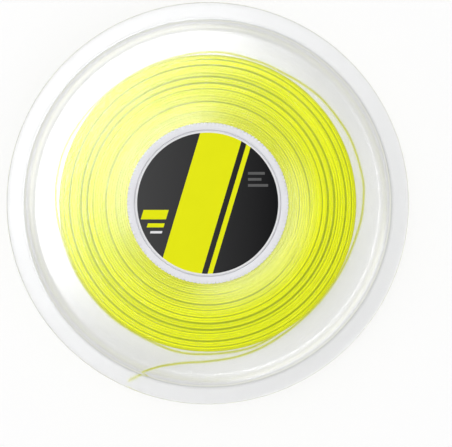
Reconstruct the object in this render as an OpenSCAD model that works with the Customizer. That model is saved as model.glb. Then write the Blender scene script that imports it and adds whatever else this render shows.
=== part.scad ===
// Reel of racket string, lying flat on its rear side with its axis along Z.
// A drum carries the winding between two dished flanges. A knurled collar clamps each
// flange to the drum, a ribbed cap plugs each collar, and a spindle tube joins the caps.

/* [Flanges] */
// Outer diameter of both flanges
flange_d = 240; // [230:1:260]
// Wall thickness of a flange
flange_t = 2; // [1.5:0.1:2.5]
// Diameter where the flat web ends and the shoulder begins
web_d = 205; // [200:1:206]
// Diameter of the crease between the shoulder and the rim band
crease_d = 219; // [218:1:222]
// How far the rim band is stepped in towards the string
rim_step = 3; // [2:0.1:4]

/* [Drum and winding] */
// Clear width between the flange webs
gap_w = 24; // [22:0.5:30]
// Outer diameter of the drum
drum_d = 95.2; // [94:0.1:95.2]
// Inner diameter of the drum
drum_bore_d = 90.1; // [89:0.1:91]
// Outer diameter of the winding
winding_d = 177.4; // [150:0.2:177.4]
// Diameter of the string itself
string_d = 1.23; // [1.1:0.01:1.3]

/* [Collars and caps] */
// Outer diameter over the knurl of a collar
collar_d = 96.4; // [96:0.1:98]
// Diameter of the open middle of a collar
collar_bore_d = 87.6; // [86:0.1:88]
// How far a collar stands proud of its flange
collar_proud = 1.2; // [1:0.1:2]
// Number of teeth in the knurl
knurl_count = 130; // [60:1:160]
// Depth of the knurl teeth
knurl_depth = 0.5; // [0.3:0.1:0.8]
// Depth of a cap's face below the collar's face
cap_recess = 0.4; // [0.3:0.1:0.6]
// Number of ribs behind the face of a cap
rib_count = 6; // [3:1:12]

/* [Spindle] */
// Diameter of the bore that takes a spindle
spindle_bore_d = 25; // [20:0.5:26]
// Wall thickness of the spindle tube
spindle_wall = 2; // [1.5:0.1:2.5]

/* [Hidden] */
$fn = 96;

// Radial play of the parts that push together, and a small overshoot for cuts
play = 0.05;
cut = 1;

// Heights, counted from the middle plane of the reel
web_inner_z = gap_w / 2;
web_outer_z = web_inner_z + flange_t;
collar_face_z = web_outer_z + collar_proud;
cap_face_z = collar_face_z - cap_recess;
reel_w = 2 * collar_face_z;

// Collar skirt, which passes through the flange and lines the end of the drum
skirt_r = drum_bore_d / 2 - play;
skirt_depth = 8;
skirt_end_z = web_inner_z - skirt_depth;
ledge_t = 1;
ledge_w = 1.2;

// Cap: a face, a skirt that stands on the collar's ledge, ribs and a boss round the tube
cap_r = collar_bore_d / 2 - play;
cap_t = 1.6;
cap_wall = 1.5;
cap_chamfer = 0.6;
cap_under_z = cap_face_z - cap_t;
boss_wall = 2;
boss_depth = 6;
rib_t = 1.6;
rib_depth = 4;

// Spindle tube: flush with the rear cap's face and just short of the front cap's face
tube_r = spindle_bore_d / 2 + spindle_wall;
tube_end_gap = 0.3;
tube_length = cap_face_z + cap_under_z - tube_end_gap;
tube_press = 0.04;

// Labels
label_t = 0.2;
label_inset = 0.3;
label_r = cap_r - cap_chamfer - label_inset;
rear_label_hole_r = 15.5;

// Tape over the start of the string
tape_t = 0.15;
tape_w = 14;
tape_angle = 34;
tape_turn = 200;

// The winding stays just clear of the drum and of both webs
winding_clear = 0.3;
winding_edge = 1.5;

// Last turn and free end of the string: [angle in degrees, distance from the axis, height].
// It leaves the winding low down, runs once round it clockwise, lies on the rear web,
// climbs the shoulder and ends on the rim band.
end_route = [
    [672, 88.0, 4.0],
    [655, 89.6, 3.9],
    [642, 90.8, 3.9],
    [624, 91.2, 3.9],
    [610, 90.2, 3.9],
    [590, 89.6, 3.9],
    [570, 89.6, 3.9],
    [550, 90.2, 3.9],
    [535, 91.8, 3.9],
    [520, 92.2, 3.9],
    [505, 90.8, 3.9],
    [490, 89.7, 3.9],
    [475, 89.6, 3.9],
    [460, 90.2, 3.9],
    [445, 91.2, 3.9],
    [430, 90.6, 3.9],
    [420, 90.6, 3.9],
    [410, 91.9, 3.9],
    [400, 93.1, 3.9],
    [385, 94.2, 3.9],
    [370, 94.4, 3.9],
    [360, 93.6, 3.9],
    [350, 92.0, 3.9],
    [335, 90.2, 3.9],
    [320, 89.7, 3.9],
    [305, 90.4, 3.9],
    [292, 92.4, 3.9],
    [281, 94.0, 3.9],
    [270, 95.2, 3.9],
    [263, 96.6, 3.9],
    [258, 99.0, 4.3],
    [254, 102.0, 5.2],
    [251, 105.8, 6.6],
    [248.6, 110.6, 7.1],
    [246, 117.0, 6.9]
];
end_sides = 8;
end_ring_gap = 9.5;

function polar_point(p) = [p[1] * cos(p[0]), p[1] * sin(p[0]), p[2]];
route = [for (p = end_route) polar_point(p)];
last = len(route) - 1;

// A smooth curve from b to c, which heads from a and towards d
function blend(a, b, c, d, t) =
    0.5 * (2 * b + (c - a) * t + (2 * a - 5 * b + 4 * c - d) * t ^ 2 + (3 * b - a - 3 * c + d) * t ^ 3);

function steps_after(i) = max(1, round(norm(route[i + 1] - route[i]) / end_ring_gap));

function point_after(i, t) =
    blend(route[max(i - 1, 0)], route[i], route[i + 1], route[min(i + 2, last)], t);

string_path = concat(
    [for (i = [0 : last - 1]) for (k = [0 : steps_after(i) - 1]) point_after(i, k / steps_after(i))],
    [route[last]]
);

function unit(v) = v / norm(v);

// Points of a round tube swept along a path, one ring of `sides` points after another
function tube_points(path, radius, sides) = [
    for (i = [0 : len(path) - 1])
        let (
            along = unit(path[min(i + 1, len(path) - 1)] - path[max(i - 1, 0)]),
            across = unit(cross(along, [0, 0, 1])),
            up = cross(across, along)
        )
        for (s = [0 : sides - 1])
            path[i] + radius * (cos(360 * s / sides) * across + sin(360 * s / sides) * up)
];

function tube_faces(rings, sides) = concat(
    [[for (s = [0 : sides - 1]) s]],
    [[for (s = [sides - 1 : -1 : 0]) (rings - 1) * sides + s]],
    [for (i = [0 : rings - 2]) for (s = [0 : sides - 1])
        let (n = (s + 1) % sides)
        [i * sides + n, i * sides + s, (i + 1) * sides + s, (i + 1) * sides + n]]
);

// A flange's two faces turn down from the web by arcs about one centre line, and meet the rim band
// at a crease. The outer face's arc ends at the crease's diameter.
shoulder_w = (crease_d - web_d) / 2;
shoulder_bend = (shoulder_w ^ 2 + rim_step ^ 2) / (2 * rim_step);
shoulder_steps = 8;

// Arc of a flange's face on the front side, from the web down to the level of the rim band:
// [distance from the axis, height above the middle]
function shoulder(bend, top_z) = [
    for (k = [0 : shoulder_steps])
        let (turn = acos(1 - rim_step / bend) * k / shoulder_steps)
        [web_d / 2 + bend * sin(turn), top_z - bend + bend * cos(turn)]
];

function backwards(list) = [for (i = [len(list) - 1 : -1 : 0]) list[i]];

// Half circle round a flange's outer edge
rim_turn = 22.5;
rim_edge = [
    for (turn = [90 : -rim_turn : -90])
        [(flange_d - flange_t) / 2 + flange_t / 2 * cos(turn),
         web_outer_z - rim_step - flange_t / 2 + flange_t / 2 * sin(turn)]
];

flange_outline = concat(
    [[drum_bore_d / 2, web_outer_z]],
    shoulder(shoulder_bend, web_outer_z),
    rim_edge,
    backwards(shoulder(shoulder_bend - flange_t, web_inner_z)),
    [[drum_bore_d / 2, web_inner_z]]
);

// Puts a front piece in its place, and a rear piece in the mirrored place
module front_side() {
    translate([0, 0, reel_w / 2]) children();
}

module rear_side() {
    translate([0, 0, reel_w / 2]) mirror([0, 0, 1]) children();
}

module ring(inner_r, outer_r, from_z, to_z) {
    difference() {
        translate([0, 0, from_z]) cylinder(r = outer_r, h = to_z - from_z);
        translate([0, 0, from_z - cut]) cylinder(r = inner_r, h = to_z - from_z + 2 * cut);
    }
}

module hub_core() {
    color("white") front_side() ring(drum_bore_d / 2, drum_d / 2, -web_inner_z, web_inner_z);
}

module spindle_tube() {
    color("gainsboro") translate([0, 0, cap_recess])
        ring(spindle_bore_d / 2, tube_r, 0, tube_length);
}

module flange() {
    color("aliceblue", 0.5) rotate_extrude() polygon(flange_outline);
}

module rear_flange() {
    rear_side() flange();
}

module front_flange() {
    front_side() flange();
}

module knurled_disc() {
    tip_r = collar_d / 2;
    linear_extrude(collar_proud)
        polygon([
            for (i = [0 : 2 * knurl_count - 1])
                let (r = i % 2 == 0 ? tip_r : tip_r - knurl_depth, turn = 180 * i / knurl_count)
                [r * cos(turn), r * sin(turn)]
        ]);
}

module collar() {
    bore_r = collar_bore_d / 2;
    color("lavender") difference() {
        union() {
            translate([0, 0, web_outer_z]) knurled_disc();
            translate([0, 0, skirt_end_z]) cylinder(r = skirt_r, h = web_outer_z - skirt_end_z);
        }
        translate([0, 0, skirt_end_z + ledge_t]) cylinder(r = bore_r, h = reel_w);
        translate([0, 0, skirt_end_z - cut]) cylinder(r = bore_r - ledge_w, h = reel_w);
    }
}

module rear_collar() {
    rear_side() collar();
}

module front_collar() {
    front_side() collar();
}

// A rib runs into the boss, the skirt and the face, so that it is one piece with them
module cap_rib() {
    from_r = tube_r + boss_wall / 2;
    to_r = cap_r - cap_wall / 2;
    translate([from_r, -rib_t / 2, cap_under_z - rib_depth])
        cube([to_r - from_r, rib_t, rib_depth + cap_t / 2]);
}

// Face, skirt, ribs and boss of a cap, before the hole for the spindle tube
module cap_body() {
    skirt_z = skirt_end_z + ledge_t;
    boss_r = tube_r + boss_wall;
    rotate_extrude() polygon([
        [0, cap_face_z],
        [cap_r - cap_chamfer, cap_face_z],
        [cap_r, cap_face_z - cap_chamfer],
        [cap_r, skirt_z],
        [cap_r - cap_wall, skirt_z],
        [cap_r - cap_wall, cap_under_z],
        [boss_r, cap_under_z],
        [boss_r, cap_under_z - boss_depth],
        [0, cap_under_z - boss_depth]
    ]);
    for (i = [0 : rib_count - 1]) rotate(360 * i / rib_count) cap_rib();
}

module front_cap() {
    color("white") front_side() difference() {
        cap_body();
        translate([0, 0, cap_under_z - boss_depth - cut])
            cylinder(r = tube_r + play, h = boss_depth + cut);
    }
}

module rear_cap() {
    color("white") rear_side() difference() {
        cap_body();
        translate([0, 0, -cut]) cylinder(r = tube_r - tube_press, h = reel_w);
    }
}

module front_label() {
    color("gold") front_side() translate([0, 0, cap_face_z]) cylinder(r = label_r, h = label_t);
}

module rear_label() {
    color("gold") rear_side() ring(rear_label_hole_r, label_r, cap_face_z, cap_face_z + label_t);
}

module start_tape() {
    color("beige") front_side() rotate(tape_turn) rotate_extrude(angle = tape_angle)
        translate([drum_d / 2, -tape_w / 2]) square([tape_t, tape_w]);
}

module string_winding() {
    inner_r = drum_d / 2 + winding_clear;
    outer_r = winding_d / 2;
    half_w = web_inner_z - winding_clear;
    color("greenyellow") front_side() rotate_extrude() polygon([
        [inner_r, -half_w],
        [outer_r - winding_edge, -half_w],
        [outer_r, -half_w + winding_edge],
        [outer_r, half_w - winding_edge],
        [outer_r - winding_edge, half_w],
        [inner_r, half_w]
    ]);
}

module string_end() {
    color("yellow") polyhedron(
        points = tube_points(string_path, string_d / 2, end_sides),
        faces = tube_faces(len(string_path), end_sides),
        convexity = 10
    );
}

hub_core();
spindle_tube();
rear_flange();
rear_collar();
rear_cap();
rear_label();
front_flange();
front_collar();
front_cap();
front_label();
start_tape();
string_winding();
string_end();
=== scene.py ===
"""Looks of the racket string reel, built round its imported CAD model. Metres, Z up.

The reel lies on its rear side with its axis along Z. The camera looks straight down that axis.
"""

import math
import random

import bmesh
import bpy
import numpy as np
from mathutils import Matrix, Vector


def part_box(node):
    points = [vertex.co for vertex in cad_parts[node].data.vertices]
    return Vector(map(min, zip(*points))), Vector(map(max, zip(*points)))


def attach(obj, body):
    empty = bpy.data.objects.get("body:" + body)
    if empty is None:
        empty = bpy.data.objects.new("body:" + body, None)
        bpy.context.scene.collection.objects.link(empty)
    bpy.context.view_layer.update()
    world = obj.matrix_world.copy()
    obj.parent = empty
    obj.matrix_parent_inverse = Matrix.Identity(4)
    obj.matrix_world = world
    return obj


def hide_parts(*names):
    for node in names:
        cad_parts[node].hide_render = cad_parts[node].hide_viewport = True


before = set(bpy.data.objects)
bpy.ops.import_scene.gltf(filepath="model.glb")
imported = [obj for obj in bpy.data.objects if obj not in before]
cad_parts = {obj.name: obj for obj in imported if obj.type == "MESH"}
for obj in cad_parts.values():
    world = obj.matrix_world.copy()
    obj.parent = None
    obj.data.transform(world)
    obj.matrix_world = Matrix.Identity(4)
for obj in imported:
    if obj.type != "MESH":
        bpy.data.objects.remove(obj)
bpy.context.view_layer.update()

MM = 0.001
TAU = 2 * math.pi

# ---------------------------------------------------------------- sizes from the frame

REEL_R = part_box("front_flange")[1].x
REEL_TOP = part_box("front_collar")[1].z
MIDDLE_Z = REEL_TOP / 2
DRUM_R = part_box("hub_core")[1].x
WINDING_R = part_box("string_winding")[1].x
WINDING_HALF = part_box("string_winding")[1].z - MIDDLE_Z
WEB_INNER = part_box("hub_core")[1].z - MIDDLE_Z
WEB_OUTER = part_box("front_flange")[1].z - MIDDLE_Z
COLLAR_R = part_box("front_collar")[1].x
COLLAR_FACE = REEL_TOP - MIDDLE_Z
COLLAR_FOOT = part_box("front_collar")[0].z - MIDDLE_Z
LABEL_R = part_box("front_label")[1].x
LABEL_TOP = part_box("front_label")[1].z - MIDDLE_Z
LABEL_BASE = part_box("front_label")[0].z - MIDDLE_Z

# Sizes that a box doesn't hold
WEB_R = 102.5 * MM
CREASE_R = 109.5 * MM
FLANGE_T = WEB_OUTER - WEB_INNER
RIM_STEP = 3 * MM
FLANGE_HOLE_R = 45.05 * MM
SKIRT_R = 45.0 * MM
COLLAR_BORE_R = 43.8 * MM
LEDGE_R = 42.6 * MM
LEDGE_T = 1 * MM
KNURL_COUNT = 130
KNURL_DEPTH = 0.5 * MM
LABEL_BORDER = 0.8 * MM
REAR_LABEL_HOLE_R = 15.5 * MM
STRING_D = 1.23 * MM

# ---------------------------------------------------------------- camera

CAMERA_HEIGHT = 2.5
# Width of the view at the collar's face
VIEW_WIDTH = 269.2 * MM
# How far the view is shifted off the reel's axis, as shares of its width
SHIFT_RIGHT = 0.04049
SHIFT_UP = -0.04491
SENSOR_WIDTH = 36
VIEW_DEPTH = 20


def make_camera():
    data = bpy.data.cameras.new("camera")
    data.sensor_width = SENSOR_WIDTH
    data.lens = SENSOR_WIDTH * (CAMERA_HEIGHT - REEL_TOP) / VIEW_WIDTH
    data.shift_x = SHIFT_RIGHT
    data.shift_y = SHIFT_UP
    data.clip_end = VIEW_DEPTH
    camera = bpy.data.objects.new("camera", data)
    camera.location = (0, 0, CAMERA_HEIGHT)
    bpy.context.scene.collection.objects.link(camera)
    bpy.context.scene.camera = camera


make_camera()

# ---------------------------------------------------------------- node helpers


class Nodes:
    """A new material with short ways to add and join its nodes."""

    def __init__(self, name):
        self.material = bpy.data.materials.new(name)
        self.material.use_nodes = True
        self.tree = self.material.node_tree
        self.tree.nodes.clear()
        self.output = self.tree.nodes.new("ShaderNodeOutputMaterial")

    def add(self, kind, inputs=None, **settings):
        node = self.tree.nodes.new("ShaderNode" + kind)
        for key, value in settings.items():
            setattr(node, key, value)
        for key, value in (inputs or {}).items():
            self.feed(node.inputs[key], value)
        return node

    def feed(self, socket, value):
        if isinstance(value, bpy.types.NodeSocket):
            self.tree.links.new(value, socket)
        else:
            socket.default_value = value

    def math(self, operation, *values):
        node = self.tree.nodes.new("ShaderNodeMath")
        node.operation = operation
        for socket, value in zip(node.inputs, values):
            self.feed(socket, value)
        return node.outputs[0]

    def ramp(self, factor, *stops):
        """A colour ramp. Each stop is (position, colour)."""
        node = self.add("ValToRGB", {"Fac": factor})
        elements = node.color_ramp.elements
        for element, (position, colour) in zip((elements[0], elements[1]), (stops[0], stops[-1])):
            element.position = position
            element.color = (*colour, 1)
        for position, colour in stops[1:-1]:
            elements.new(position).color = (*colour, 1)
        return node.outputs[0]

    def noise(self, vector, scale, detail=3.0, roughness=0.5):
        inputs = {"Vector": vector, "Scale": scale, "Detail": detail, "Roughness": roughness}
        return self.add("TexNoise", inputs).outputs["Fac"]

    def object_coordinates(self):
        return self.add("TexCoord").outputs["Object"]

    def radius_and_height(self):
        """(distance from the reel's axis, height), both in metres."""
        x, y, z = self.add("SeparateXYZ", {"Vector": self.object_coordinates()}).outputs
        square = self.math("ADD", self.math("MULTIPLY", x, x), self.math("MULTIPLY", y, y))
        return self.math("SQRT", square), z

    def between(self, value, low, high, to_low, to_high):
        inputs = {"Value": value, "From Min": low, "From Max": high, "To Min": to_low, "To Max": to_high}
        return self.add("MapRange", inputs).outputs["Result"]

    def bump(self, height, strength, distance):
        return self.add("Bump", {"Height": height, "Strength": strength, "Distance": distance}).outputs[0]

    def finish(self, shader):
        self.tree.links.new(shader, self.output.inputs["Surface"])
        return self.material


# ---------------------------------------------------------------- materials

# How fast the string's tone changes from turn to turn, in noise cells to the metre
TURN_TONE_SCALE = 750.0
# Painted shade: the string is painted darker from the first of these depths below the winding's edge to
# the second, down to this share. The loose end, lying at and beyond the edge, is painted darkest.
EDGE_SHADE_START = 1.8 * MM
EDGE_SHADE_FULL = 0.6 * MM
EDGE_SHADE_SHARE = 0.66
# The rim band is rougher than the web by this much, over this width beyond the crease
RIM_SATIN = 0.1
RIM_SATIN_WIDTH = 1.5 * MM


def grey(level):
    return (level, level, level)


def string_material(name, dark, light, glow):
    """Polyester string: glossy, with a slight change of tone between turns.

    Painted shade: the outermost turns, and the loose end that lies beyond them, are painted darker.
    """
    n = Nodes(name)
    radius, height = n.radius_and_height()
    turn_tone = n.add("CombineXYZ", {
        "X": n.math("MULTIPLY", radius, TURN_TONE_SCALE),
        "Z": n.math("MULTIPLY", height, TURN_TONE_SCALE),
    })
    tone = n.noise(turn_tone.outputs[0], 1.0, 1.0)
    soft = n.noise(n.object_coordinates(), 120.0, 2.0)
    colour = n.ramp(tone, (0.3, dark), (0.7, light))
    # Painted shade towards the winding's outer edge
    edge_shade = n.between(radius, WINDING_R - EDGE_SHADE_START, WINDING_R - EDGE_SHADE_FULL, 1.0, EDGE_SHADE_SHARE)
    shaded = n.add("VectorMath", {0: colour, "Scale": edge_shade}, operation="SCALE")
    principled = n.add("BsdfPrincipled", {
        "Base Color": shaded.outputs[0],
        "Roughness": n.between(soft, 0.3, 0.7, 0.28, 0.36),
        "Normal": n.bump(soft, 0.1, 0.0001),
        "Specular IOR Level": 0.25,
        "Specular Tint": (1.0, 1.0, 0.5, 1),
        # Painted glow: the string gives off a little light of its own, which brightens it where shade
        # would fall
        "Emission Color": (0.9, 0.95, 0.0, 1),
        "Emission Strength": glow,
    })
    return n.finish(principled.outputs[0])


def flange_material():
    """Clear moulded plastic with a soft gloss.

    The mould was turned on a lathe, which leaves faint rings that stretch a highlight across them.
    Shadow and diffuse rays go straight through, so that the lamps reach what lies under it.
    """
    n = Nodes("flange_translucent")
    radius, _ = n.radius_and_height()
    cloud = n.noise(n.object_coordinates(), 35.0, 3.0)
    along = n.between(radius, FLANGE_HOLE_R, REEL_R, 0.0, 1.0)
    # The plastic's faint tint, growing a little darker out to the web's edge; beyond it, painted light
    # makes the shoulder lighter and painted shade makes a thin dark band at the crease
    tint_and_painted_shading = n.ramp(
        along,
        (0.0, (0.97, 0.972, 0.98)),
        (0.76, (0.925, 0.927, 0.935)),
        (0.83, (0.965, 0.965, 0.975)),
        (0.862, (0.77, 0.772, 0.78)),
        (0.885, (0.92, 0.922, 0.93)),
    )
    rim_satin = n.between(radius, CREASE_R, CREASE_R + RIM_SATIN_WIDTH, 0.0, RIM_SATIN)
    glass = n.add("BsdfPrincipled", {
        "Base Color": tint_and_painted_shading,
        "Roughness": n.math("ADD", n.between(cloud, 0.3, 0.7, 0.145, 0.165), rim_satin),
        "IOR": 1.4,
        "Transmission Weight": 1.0,
    })
    open_to_lamps = n.add("BsdfTransparent", {"Color": (0.95, 0.952, 0.96, 1)})
    path = n.add("LightPath").outputs
    lit_through = n.math("MAXIMUM", path["Is Shadow Ray"], path["Is Diffuse Ray"])
    clear = n.add("MixShader", {0: lit_through, 1: glass.outputs[0], 2: open_to_lamps.outputs[0]})
    outer_face = n.math("SUBTRACT", 1.0, n.add("NewGeometry").outputs["Backfacing"])
    ring_share = n.ramp(
        along,
        (0.1, grey(0.14)),
        (0.3, grey(0)),
        (0.6, grey(0)),
        (0.7, grey(0.06)),
        (0.84, grey(0.09)),
        (0.865, grey(0)),
    )
    rings = n.add("BsdfAnisotropic", {
        "Color": (1, 1, 1, 1),
        "Roughness": 0.265,
        "Anisotropy": 0.72,
        "Tangent": n.add("Tangent", direction_type="RADIAL", axis="Z").outputs[0],
    })
    share = n.math("MULTIPLY", outer_face, ring_share)
    surface = n.add("MixShader", {0: share, 1: clear.outputs[0], 2: rings.outputs[0]})
    return n.finish(surface.outputs[0])


def white_plastic(name, colour, rough):
    """Moulded white plastic with a faint grain."""
    n = Nodes(name)
    grain = n.noise(n.object_coordinates(), 1400.0, 2.0)
    cloud = n.noise(n.object_coordinates(), 60.0, 2.0)
    darker = tuple(0.94 * c for c in colour)
    principled = n.add("BsdfPrincipled", {
        "Base Color": n.ramp(cloud, (0.3, darker), (0.7, colour)),
        "Roughness": n.between(cloud, 0.3, 0.7, rough - 0.06, rough + 0.06),
        "Normal": n.bump(grain, 0.2, 0.00003),
    })
    return n.finish(principled.outputs[0])


def paper_material(name, low, high, rough, across=False):
    """Coated label paper. The tone runs from low to high: at random, or, if across is set, from the
    label's left side to its right, as a painted sheen that lights the left side.
    """
    n = Nodes(name)
    fibre = n.noise(n.object_coordinates(), 2500.0, 4.0, 0.65)
    # Painted sheen across the label, lighter on the left
    if across:
        x = n.add("SeparateXYZ", {"Vector": n.object_coordinates()}).outputs[0]
        factor = n.between(x, -LABEL_R, LABEL_R, 0.0, 1.0)
    else:
        factor = n.noise(n.object_coordinates(), 90.0, 2.0)
    principled = n.add("BsdfPrincipled", {
        "Base Color": n.ramp(factor, (0.0, low), (1.0, high)),
        "Roughness": n.between(fibre, 0.3, 0.7, rough - 0.05, rough + 0.05),
        "Specular IOR Level": 0.12,
        "Normal": n.bump(fibre, 0.12, 0.00002),
    })
    return n.finish(principled.outputs[0])


STRING = string_material("string_neon_yellow", (0.74, 0.79, 0.002), (0.98, 1.0, 0.004), 0.21)
# Painted shade: a darker, dimmer copy of the string, for the plain ring of inner turns seen down the
# grooves
SHADED_DEEP_STRING = string_material("string_deep_turns_painted_shade", (0.40, 0.46, 0.001), (0.46, 0.53, 0.001), 0.1)
FLANGE = flange_material()
COLLAR_WHITE = white_plastic("collar_white", (0.91, 0.91, 0.95), 0.38)
CAP_WHITE = white_plastic("cap_white", (0.84, 0.84, 0.86), 0.5)
DRUM_WHITE = white_plastic("drum_white", (0.82, 0.82, 0.84), 0.5)
LABEL_WHITE = paper_material("label_white", (0.85, 0.85, 0.86), (0.9, 0.9, 0.91), 0.4)
# Painted sheen: the black print is painted lighter on the label's left side
LABEL_BLACK = paper_material("label_black", (0.06, 0.06, 0.061), (0.003, 0.003, 0.004), 0.6, across=True)
LABEL_YELLOW = paper_material("label_yellow", (0.86, 0.88, 0.003), (0.90, 0.92, 0.004), 0.6)
LABEL_GREY = paper_material("label_grey", grey(0.10), grey(0.13), 0.4)
TAPE = paper_material("tape_paper", (0.72, 0.62, 0.42), (0.8, 0.7, 0.5), 0.7)

# ---------------------------------------------------------------- mesh helpers


def add_mesh(name, vertices, faces, materials, smooth=True):
    mesh = bpy.data.meshes.new(name)
    mesh.from_pydata([tuple(v) for v in vertices], [], faces)
    for material in materials:
        mesh.materials.append(material)
    if smooth:
        mesh.shade_smooth()
    mesh.update()
    piece = bpy.data.objects.new(name, mesh)
    bpy.context.scene.collection.objects.link(piece)
    return piece


def sharpen(piece, degrees=35):
    """Keeps edges sharper than this angle crisp under smooth shading."""
    piece.data.set_sharp_from_angle(angle=math.radians(degrees))


def lathe(name, outline, material, segments=360, moved=None):
    """A closed outline of (distance from the axis, height) turned about Z.

    moved(index, angle, radius, height) may give a point of the outline another place at each angle.
    """
    count = len(outline)
    vertices = []
    for s in range(segments):
        angle = TAU * s / segments
        for index, (radius, z) in enumerate(outline):
            if moved:
                radius, z = moved(index, angle, radius, z)
            vertices.append((radius * math.cos(angle), radius * math.sin(angle), z))
    faces = []
    for s in range(segments):
        here, there = s * count, (s + 1) % segments * count
        for index in range(count):
            following = (index + 1) % count
            faces.append((here + index, there + index, there + following, here + following))
    piece = add_mesh(name, vertices, faces, [material])
    outward(piece)
    sharpen(piece)
    return piece


def outward(piece):
    """Turns all normals of a closed mesh outwards."""
    shape = bmesh.new()
    shape.from_mesh(piece.data)
    bmesh.ops.recalc_face_normals(shape, faces=shape.faces)
    shape.to_mesh(piece.data)
    shape.free()


def on_side(outline, side):
    """Puts an outline with heights above the middle plane on the front (1) or rear (-1) side."""
    return [(radius, MIDDLE_Z + side * height) for radius, height in outline]


def arc(centre, radius, start, end, steps):
    """Points on a circle, with angles in degrees."""
    turns = [math.radians(start + (end - start) * k / steps) for k in range(steps + 1)]
    return [(centre[0] + radius * math.cos(t), centre[1] + radius * math.sin(t)) for t in turns]


# ---------------------------------------------------------------- loose last turn and free end

# Route of the string's loose last turn and free end: angle in degrees, distance from the
# axis and height in millimetres.
END_ROUTE = [
    (672, 88.0, 4.0),
    (655, 89.6, 3.9),
    (642, 90.8, 3.9),
    (624, 91.2, 3.9),
    (610, 90.2, 3.9),
    (590, 89.6, 3.9),
    (570, 89.6, 3.9),
    (550, 90.2, 3.9),
    (535, 91.8, 3.9),
    (520, 92.2, 3.9),
    (505, 90.8, 3.9),
    (490, 89.7, 3.9),
    (475, 89.6, 3.9),
    (460, 90.2, 3.9),
    (445, 91.2, 3.9),
    (430, 90.6, 3.9),
    (420, 90.6, 3.9),
    (410, 91.9, 3.9),
    (400, 93.1, 3.9),
    (385, 94.2, 3.9),
    (370, 94.4, 3.9),
    (360, 93.6, 3.9),
    (350, 92.0, 3.9),
    (335, 90.2, 3.9),
    (320, 89.7, 3.9),
    (305, 90.4, 3.9),
    (292, 92.4, 3.9),
    (281, 94.0, 3.9),
    (270, 95.2, 3.9),
    (263, 96.6, 3.9),
    (258, 99.0, 4.3),
    (254, 102.0, 5.2),
    (251, 105.8, 6.6),
    (248.6, 110.6, 7.1),
    (246, 117.0, 6.9),
]
END_STEPS = 8


def smooth_route(points, steps):
    """Catmull-Rom points through a route, with this many steps between two of its points."""
    last = len(points) - 1
    found = []
    for i in range(last):
        a, b, c, d = points[max(i - 1, 0)], points[i], points[i + 1], points[min(i + 2, last)]
        for k in range(steps):
            t = k / steps
            bend = (2 * a - 5 * b + 4 * c - d) * t * t + (3 * b - a - 3 * c + d) * t ** 3
            found.append(0.5 * (2 * b + (c - a) * t + bend))
    return found + [points[last]]


def make_string_end():
    route = [
        Vector((r * math.cos(math.radians(turn)), r * math.sin(math.radians(turn)), z)) * MM
        for turn, r, z in END_ROUTE
    ]
    path = smooth_route(route, END_STEPS)
    curve = bpy.data.curves.new("string_loose_end", "CURVE")
    curve.dimensions = "3D"
    curve.bevel_depth = STRING_D / 2
    curve.bevel_resolution = 4
    curve.use_fill_caps = True
    spline = curve.splines.new("POLY")
    spline.points.add(len(path) - 1)
    for point, place in zip(spline.points, path):
        point.co = (*place, 1)
    curve.materials.append(STRING)
    piece = bpy.data.objects.new("string_loose_end", curve)
    bpy.context.scene.collection.objects.link(piece)
    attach(piece, "reel")
    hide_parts("string_end")


make_string_end()

# ---------------------------------------------------------------- winding

TURNS_PER_LAYER = 17.985
STEPS_PER_TURN = 120
STRAND_SIDES = 8
TIGHT_PITCH = 1.3 * MM
DRUM_GAP = 0.35 * MM
# Extra room after some of the layers, in millimetres
GROOVES = {4: 0.3, 8: 0.7, 10: 0.3, 13: 0.4, 15: 1.0, 17: 1.1, 18: 0.3, 21: 0.9, 23: 0.4}
LAYERS = 26

# Depth below each face in which turns are drawn, layers drawn over the whole width, and the
# plain ring that fills the rest
SHELL_DEPTH = 3.4 * MM
OUTER_LAYERS = 2
CORE_DEPTH = 2.7 * MM
CORE_GAP = 0.3 * MM

# Where the first layer starts. Changes of layer at a face all happen a little past it.
FIRST_ANGLE = math.radians(245)
# Share of a turn over which the string moves out to the next layer
CHANGE_TURNS = 0.25
# How far below a face the string turns back, in millimetres: at most, and for the last layers
DEEPEST_CHANGE = 0.4
LAST_CHANGES = (0.5, 1.2, 2.2)

# Unevenness of the lay
WAVE_PARTS = 4
WAVE_OUT = 0.06 * MM
WAVE_UP = 0.05 * MM

random.seed(41)


def layer_radii():
    """Distance of each layer's centre line from the axis. Layers lie tight, apart from a few grooves."""
    first = DRUM_R + DRUM_GAP + STRING_D / 2
    last = WINDING_R - STRING_D / 2
    steps = [TIGHT_PITCH + GROOVES.get(layer, 0) * MM for layer in range(LAYERS - 1)]
    scale = (last - first) / sum(steps)
    radii = [first]
    for step in steps:
        radii.append(radii[-1] + scale * step)
    return radii


def turning_depths():
    """How far below the winding's face each change of layer happens."""
    depths = [random.uniform(0, DEEPEST_CHANGE) * MM for _ in range(LAYERS + 1)]
    depths[-len(LAST_CHANGES):] = [depth * MM for depth in LAST_CHANGES]
    return depths


RADII = layer_radii()
DEPTHS = turning_depths()
WAVES = [
    [(random.randint(1, 7), random.uniform(0, TAU), random.uniform(0.2, 1)) for _ in range(WAVE_PARTS)]
    for _ in range(LAYERS + 1)
]


def wave(layer, angle):
    """A smooth value between about -1 and 1 round a layer."""
    parts = WAVES[layer]
    return sum(size * math.sin(count * angle + phase) for count, phase, size in parts) / len(parts)


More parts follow.
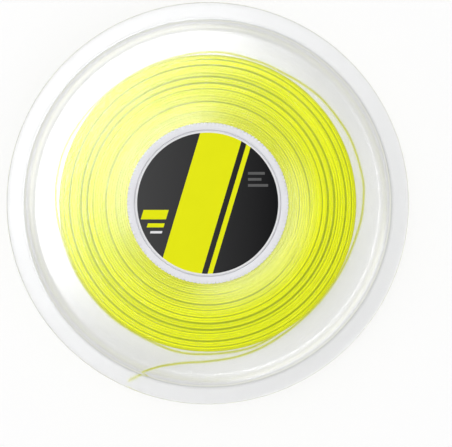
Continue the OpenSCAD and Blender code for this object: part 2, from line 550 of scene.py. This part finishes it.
def winding_point(turns):
    """Place of the string after so many turns: (point, layer)."""
    layer = min(int(turns / TURNS_PER_LAYER), LAYERS - 1)
    along = turns / TURNS_PER_LAYER - layer
    up = 1 if layer % 2 == 0 else -1
    reach = WINDING_HALF - STRING_D / 2
    start = -up * (reach - DEPTHS[layer])
    end = up * (reach - DEPTHS[layer + 1])
    left = (1 - along) * TURNS_PER_LAYER
    change = max(0.0, 1 - left / CHANGE_TURNS)
    following = RADII[min(layer + 1, LAYERS - 1)]
    radius = RADII[layer] + (following - RADII[layer]) * change * change * (3 - 2 * change)
    angle = FIRST_ANGLE - TAU * turns
    radius += WAVE_OUT * wave(layer, angle)
    height = start + (end - start) * along + WAVE_UP * wave(layer, 2 * angle + 1)
    height = max(-reach, min(reach, height))
    return (radius * math.cos(angle), radius * math.sin(angle), MIDDLE_Z + height), layer


def winding_runs():
    """The stretches of string that can be seen, as lists of points under front, rear or side."""
    runs = {"front": [], "rear": [], "side": []}
    reach = WINDING_HALF - STRING_D / 2
    current, kind = [], None
    for step in range(int(LAYERS * TURNS_PER_LAYER * STEPS_PER_TURN)):
        point, layer = winding_point(step / STEPS_PER_TURN)
        height = point[2] - MIDDLE_Z
        if layer >= LAYERS - OUTER_LAYERS:
            here = "side"
        elif height > reach - SHELL_DEPTH:
            here = "front"
        elif height < -reach + SHELL_DEPTH:
            here = "rear"
        else:
            here = None
        if here != kind:
            if kind and len(current) > 2:
                runs[kind].append(current)
            current, kind = [], here
        if here:
            current.append(point)
    if kind:
        runs[kind].append(current)
    return runs


def strands(name, runs, radius, material):
    """Round tubes along several runs of points, as one mesh."""
    turns = TAU * np.arange(STRAND_SIDES) / STRAND_SIDES
    vertices, faces = [], []
    first = 0
    for run in runs:
        path = np.array(run)
        along = np.gradient(path, axis=0)
        along /= np.linalg.norm(along, axis=1)[:, None]
        out = path * (1, 1, 0)
        out -= (out * along).sum(1)[:, None] * along
        out /= np.linalg.norm(out, axis=1)[:, None]
        side = np.cross(along, out)
        ring = np.cos(turns)[None, :, None] * out[:, None] + np.sin(turns)[None, :, None] * side[:, None]
        vertices.append((path[:, None] + radius * ring).reshape(-1, 3))
        for i in range(len(path) - 1):
            here = first + i * STRAND_SIDES
            for s in range(STRAND_SIDES):
                following = (s + 1) % STRAND_SIDES
                faces.append((
                    here + s,
                    here + following,
                    here + STRAND_SIDES + following,
                    here + STRAND_SIDES + s,
                ))
        faces.append(tuple(first + s for s in reversed(range(STRAND_SIDES))))
        end = first + (len(path) - 1) * STRAND_SIDES
        faces.append(tuple(end + s for s in range(STRAND_SIDES)))
        first += len(path) * STRAND_SIDES
    return add_mesh(name, np.concatenate(vertices), faces, [material])


def make_winding():
    runs = winding_runs()
    pieces = [strands(f"winding_{kind}_turns", runs[kind], STRING_D / 2, STRING) for kind in runs]
    half = WINDING_HALF - CORE_DEPTH
    inner = DRUM_R + CORE_GAP
    outer = RADII[LAYERS - OUTER_LAYERS] - CORE_GAP
    section = [(inner, -half), (outer, -half), (outer, half), (inner, half)]
    # The inner ring wears the painted-shade copy of the string
    core = lathe("winding_inner_turns", on_side(section, 1), SHADED_DEEP_STRING)
    for piece in [*pieces, core]:
        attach(piece, "reel")
    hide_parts("string_winding")


make_winding()

# ---------------------------------------------------------------- flanges

FINE_ROUND = 0.25 * MM
CREASE_ROUND = 0.8 * MM
SHOULDER_END_R = CREASE_R + 0.3 * MM


def shoulder(bend, crease, top_z, steps=14):
    """The arc by which a face of the flange turns down from the web, and the one that levels it out."""
    turn = math.acos(1 - RIM_STEP / (bend + crease))
    degrees = math.degrees(turn)
    down = arc((WEB_R, top_z - bend), bend, 90, 90 - degrees, steps)
    end_r = WEB_R + (bend + crease) * math.sin(turn)
    level = arc((end_r, top_z - RIM_STEP + crease), crease, 270 - degrees, 270, steps)
    return down + level[1:]


def flange_outline():
    """The flange's section on the front side: web, rounded shoulder, crease and rim band."""
    both_bends = ((SHOULDER_END_R - WEB_R) ** 2 + RIM_STEP ** 2) / (2 * RIM_STEP)
    outer_bend = both_bends - CREASE_ROUND
    outer = shoulder(outer_bend, CREASE_ROUND, WEB_OUTER)
    inner = shoulder(outer_bend - FLANGE_T, CREASE_ROUND + FLANGE_T, WEB_INNER)
    rim_middle = (REEL_R - FLANGE_T / 2, WEB_OUTER - RIM_STEP - FLANGE_T / 2)
    edge = arc(rim_middle, FLANGE_T / 2, 90, -90, 16)
    hole_top = arc((FLANGE_HOLE_R + FINE_ROUND, WEB_OUTER - FINE_ROUND), FINE_ROUND, 180, 90, 4)
    hole_foot = arc((FLANGE_HOLE_R + FINE_ROUND, WEB_INNER + FINE_ROUND), FINE_ROUND, 270, 180, 4)
    # points close to the ends of each flat stretch keep its smooth shading flat
    ends = (FLANGE_HOLE_R + 2 * FINE_ROUND, WEB_R - FINE_ROUND)
    web_top = [(radius, WEB_OUTER) for radius in ends]
    web_foot = [(radius, WEB_INNER) for radius in reversed(ends)]
    rim_top = [(rim_middle[0] - FINE_ROUND, WEB_OUTER - RIM_STEP)]
    rim_foot = [(rim_middle[0] - FINE_ROUND, WEB_INNER - RIM_STEP)]
    return hole_top + web_top + outer + rim_top + edge + rim_foot + inner[::-1] + web_foot + hole_foot


def make_flanges():
    for name, side in (("front", 1), ("rear", -1)):
        piece = lathe(f"{name}_flange_disc", on_side(flange_outline(), side), FLANGE)
        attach(piece, "front_flange" if side == 1 else "reel")
        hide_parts(f"{name}_flange")


make_flanges()

# ---------------------------------------------------------------- collars

STEPS_PER_TOOTH = 8
TOOTH_BLUNTNESS = 0.7
# How far a valley sinks at the face's edge, as a share of its depth
FACE_DROP = 0.6


def collar_outline():
    """(distance from the axis, height, share of the knurl) of a collar on the front side."""
    edge = 0.35 * MM
    return [
        (COLLAR_BORE_R, COLLAR_FOOT + LEDGE_T, 0),
        (COLLAR_BORE_R, COLLAR_FACE - edge, 0),
        (COLLAR_BORE_R + 0.3 * edge, COLLAR_FACE - 0.3 * edge, 0),
        (COLLAR_BORE_R + edge, COLLAR_FACE, 0),
        (COLLAR_R - 5 * edge, COLLAR_FACE, 0),
        (COLLAR_R - 3.6 * edge, COLLAR_FACE - 0.1 * edge, 0.6),
        (COLLAR_R - 1.6 * edge, COLLAR_FACE - 0.4 * edge, 0.8),
        (COLLAR_R - 0.5 * edge, COLLAR_FACE - 0.9 * edge, 1),
        (COLLAR_R, COLLAR_FACE - 1.6 * edge, 1),
        (COLLAR_R, WEB_OUTER, 1),
        (SKIRT_R, WEB_OUTER, 0),
        (SKIRT_R, COLLAR_FOOT, 0),
        (LEDGE_R, COLLAR_FOOT, 0),
        (LEDGE_R, COLLAR_FOOT + LEDGE_T, 0),
    ]


def knurl(outline, side):
    """The function by which lathe cuts the teeth. Each valley also slopes down at the face's edge."""

    def moved(index, angle, radius, height):
        _, level, share = outline[index]
        valley = share * (1 - abs(math.cos(KNURL_COUNT / 2 * angle)) ** TOOTH_BLUNTNESS)
        drop = FACE_DROP * KNURL_DEPTH * valley if level > WEB_OUTER else 0
        return radius - KNURL_DEPTH * valley, height - side * drop

    return moved


def make_collars():
    outline = collar_outline()
    flat = [(radius, height) for radius, height, _ in outline]
    for name, side in (("front", 1), ("rear", -1)):
        section = on_side(flat, side)
        segments = KNURL_COUNT * STEPS_PER_TOOTH
        piece = lathe(f"{name}_collar_ring", section, COLLAR_WHITE, segments, knurl(outline, side))
        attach(piece, "front_collar" if side == 1 else "reel")
        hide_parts(f"{name}_collar")


make_collars()

# ---------------------------------------------------------------- caps, drum and tube keep their CAD shape


def repaint(node, material):
    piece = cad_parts[node]
    piece.data.materials.clear()
    piece.data.materials.append(material)


for node, material in (
    ("front_cap", CAP_WHITE),
    ("rear_cap", CAP_WHITE),
    ("hub_core", DRUM_WHITE),
    ("spindle_tube", DRUM_WHITE),
    ("start_tape", TAPE),
):
    repaint(node, material)

# ---------------------------------------------------------------- labels

PRINT_R = LABEL_R - LABEL_BORDER
LABEL_SEGMENTS = 180
# Rings of vertices between the middle or the hole and the print's edge, as shares of its radius.
# The rear label's hole is larger than the first ring, so its faces fold back to that ring.
INNER_RINGS = (0.3, 0.65)
# A face counts as border if its middle lies beyond this share of the print's radius
BORDER_SHARE = 0.9999
CUT_TOLERANCE = 1e-7
WHITE, BLACK, YELLOW, GREY = range(4)
INKS = (LABEL_WHITE, LABEL_BLACK, LABEL_YELLOW, LABEL_GREY)
# How far the bars lean to the right as they rise, and a height beyond the label's edge in millimetres
LEAN = 0.3
ACROSS = 60


def slanted(left, right, foot, top, slant):
    """Corners of a bar between two heights whose sides lean to the right by slant."""
    return [
        Vector((left + slant * foot, foot)) * MM,
        Vector((right + slant * foot, foot)) * MM,
        Vector((right + slant * top, top)) * MM,
        Vector((left + slant * top, top)) * MM,
    ]


# Plain slanted bands and bars, in millimetres from the label's middle
LABEL_SHAPES = [
    (YELLOW, slanted(-17, 9, -ACROSS, ACROSS, LEAN)),
    (YELLOW, slanted(12.5, 15.5, -ACROSS, ACROSS, LEAN)),
    (YELLOW, slanted(-37, -22, -9.6, -4, LEAN)),
    (YELLOW, slanted(-32, -22, -14.4, -12, LEAN)),
    (WHITE, slanted(-29, -22, -18, -16.6, LEAN)),
    (GREY, slanted(24, 34, 17, 18.6, 0)),
    (GREY, slanted(24, 32, 13.4, 15, 0)),
    (GREY, slanted(24, 36, 9.8, 11.4, 0)),
]


def inside(point, corners):
    """True if a point is inside a convex outline whose corners go anticlockwise."""
    pairs = zip(corners, corners[1:] + corners[:1])
    return all((b.x - a.x) * (point.y - a.y) - (b.y - a.y) * (point.x - a.x) > 0 for a, b in pairs)


def add_ring(shape, radius):
    """Vertices on a circle, or the one in the middle."""
    if radius == 0:
        return [shape.verts.new((0, 0, 0))]
    angles = [TAU * s / LABEL_SEGMENTS for s in range(LABEL_SEGMENTS)]
    return [shape.verts.new((radius * math.cos(a), radius * math.sin(a), 0)) for a in angles]


def join_rings(shape, inner, outer):
    for s in range(LABEL_SEGMENTS):
        following = (s + 1) % LABEL_SEGMENTS
        if len(inner) == 1:
            shape.faces.new((inner[0], outer[s], outer[following]))
        else:
            shape.faces.new((inner[s], outer[s], outer[following], inner[following]))


def cut_along(shape, corners):
    """Cuts the flat label along the outline's sides."""
    for a, b in zip(corners, corners[1:] + corners[:1]):
        along = b - a
        bmesh.ops.bisect_plane(
            shape,
            geom=[*shape.verts, *shape.edges, *shape.faces],
            dist=CUT_TOLERANCE,
            plane_co=(a.x, a.y, 0),
            plane_no=(along.y, -along.x, 0),
        )


def ink_at(place, shapes):
    """The colour printed at a place: the border's, the last shape's that holds it, or black."""
    if place.xy.length > PRINT_R * BORDER_SHARE:
        return WHITE
    found = [ink for ink, corners in shapes if inside(place, corners)]
    return found[-1] if found else BLACK


def thicken(shape):
    """Gives the flat label its thickness. The faces it starts with become its white back."""
    back = list(shape.faces)
    made = bmesh.ops.extrude_face_region(shape, geom=back)
    for vertex in (v for v in made["geom"] if isinstance(v, bmesh.types.BMVert)):
        vertex.co.z = LABEL_TOP - LABEL_BASE
    for face in back:
        face.material_index = WHITE


def make_label(name, side, hole_r, shapes):
    """A round sticker whose printed areas are separate faces with crisp outlines."""
    shape = bmesh.new()
    radii = [hole_r, *(share * PRINT_R for share in INNER_RINGS), PRINT_R, LABEL_R]
    rings = [add_ring(shape, radius) for radius in radii]
    for inner, outer in zip(rings, rings[1:]):
        join_rings(shape, inner, outer)
    for _, corners in shapes:
        cut_along(shape, corners)
    for face in shape.faces:
        face.material_index = ink_at(face.calc_center_median(), shapes)
    thicken(shape)
    bmesh.ops.recalc_face_normals(shape, faces=shape.faces)
    for vertex in shape.verts:
        vertex.co.z = MIDDLE_Z + side * (LABEL_BASE + vertex.co.z)
    mesh = bpy.data.meshes.new(name)
    shape.to_mesh(mesh)
    shape.free()
    for material in INKS:
        mesh.materials.append(material)
    piece = bpy.data.objects.new(name, mesh)
    bpy.context.scene.collection.objects.link(piece)
    outward(piece)
    return piece


def make_labels():
    front = make_label("front_label_print", 1, 0, LABEL_SHAPES)
    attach(front, "front_cap")
    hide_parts("front_label")
    rear = make_label("rear_label_print", -1, REAR_LABEL_HOLE_R, LABEL_SHAPES[-3:])
    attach(rear, "reel")
    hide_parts("rear_label")


make_labels()

# ---------------------------------------------------------------- floor, light and world

FLOOR_HALF = 30
# The floor glows more strongly from the first of these distances to the second
GLOW_NEAR_R, GLOW_FAR_R = 0.4, 3.0
GLOW_NEAR, GLOW_FAR = 0.65, 0.97


def make_floor():
    """A white table lit from below, so that its shadows stay faint."""
    n = Nodes("floor_white")
    soft = n.noise(n.object_coordinates(), 3.0, 2.0)
    distance, _ = n.radius_and_height()
    principled = n.add("BsdfPrincipled", {
        "Base Color": n.ramp(soft, (0.0, grey(0.37)), (1.0, grey(0.38))),
        "Roughness": 0.9,
        "Emission Color": (1, 1, 1, 1),
        "Emission Strength": n.between(distance, GLOW_NEAR_R, GLOW_FAR_R, GLOW_NEAR, GLOW_FAR),
    })
    half = FLOOR_HALF
    corners = [(-half, -half, 0), (half, -half, 0), (half, half, 0), (-half, half, 0)]
    floor = add_mesh("floor", corners, [(0, 1, 2, 3)], [n.finish(principled.outputs[0])], smooth=False)


def softbox(name, azimuth, elevation, distance, width, height, power):
    """A soft rectangular light that looks at the origin. Azimuth counts from +X towards +Y."""
    data = bpy.data.lights.new(name, "AREA")
    data.shape = "RECTANGLE"
    data.size = width
    data.size_y = height
    data.energy = power
    lamp = bpy.data.objects.new(name, data)
    a, e = math.radians(azimuth), math.radians(elevation)
    place = Vector((math.cos(a) * math.cos(e), math.sin(a) * math.cos(e), math.sin(e))) * distance
    lamp.location = place
    lamp.rotation_mode = "QUATERNION"
    lamp.rotation_quaternion = (-place).to_track_quat("-Z", "Y")
    lamp.visible_camera = False
    bpy.context.scene.collection.objects.link(lamp)


def make_world():
    """A studio that is white at the horizon and below, and dim overhead, so that flat faces stay clear."""
    world = bpy.data.worlds.new("studio")
    world.use_nodes = True
    tree = world.node_tree
    direction = tree.nodes.new("ShaderNodeTexCoord")
    split = tree.nodes.new("ShaderNodeSeparateXYZ")
    ramp = tree.nodes.new("ShaderNodeValToRGB")
    tree.links.new(direction.outputs["Generated"], split.inputs[0])
    tree.links.new(split.outputs["Z"], ramp.inputs["Fac"])
    background = tree.nodes["Background"]
    tree.links.new(ramp.outputs[0], background.inputs["Color"])
    elements = ramp.color_ramp.elements
    elements[0].position = 0.1
    elements[0].color = (*grey(1), 1)
    elements[1].position = 0.5
    elements[1].color = (*grey(0.1), 1)
    for height in (0.16, 0.3):
        elements.new(height).color = (*grey(0.6), 1)
    bpy.context.scene.world = world


make_floor()
softbox("key_light", azimuth=135, elevation=50, distance=2.2, width=3.0, height=1.4, power=32)
softbox("fill_light", azimuth=315, elevation=38, distance=2.2, width=2.6, height=1.2, power=22)
softbox("top_light", azimuth=145, elevation=83.9, distance=1.513, width=0.46, height=0.12, power=2.0)
make_world()
bpy.context.scene.view_settings.view_transform = "Standard"
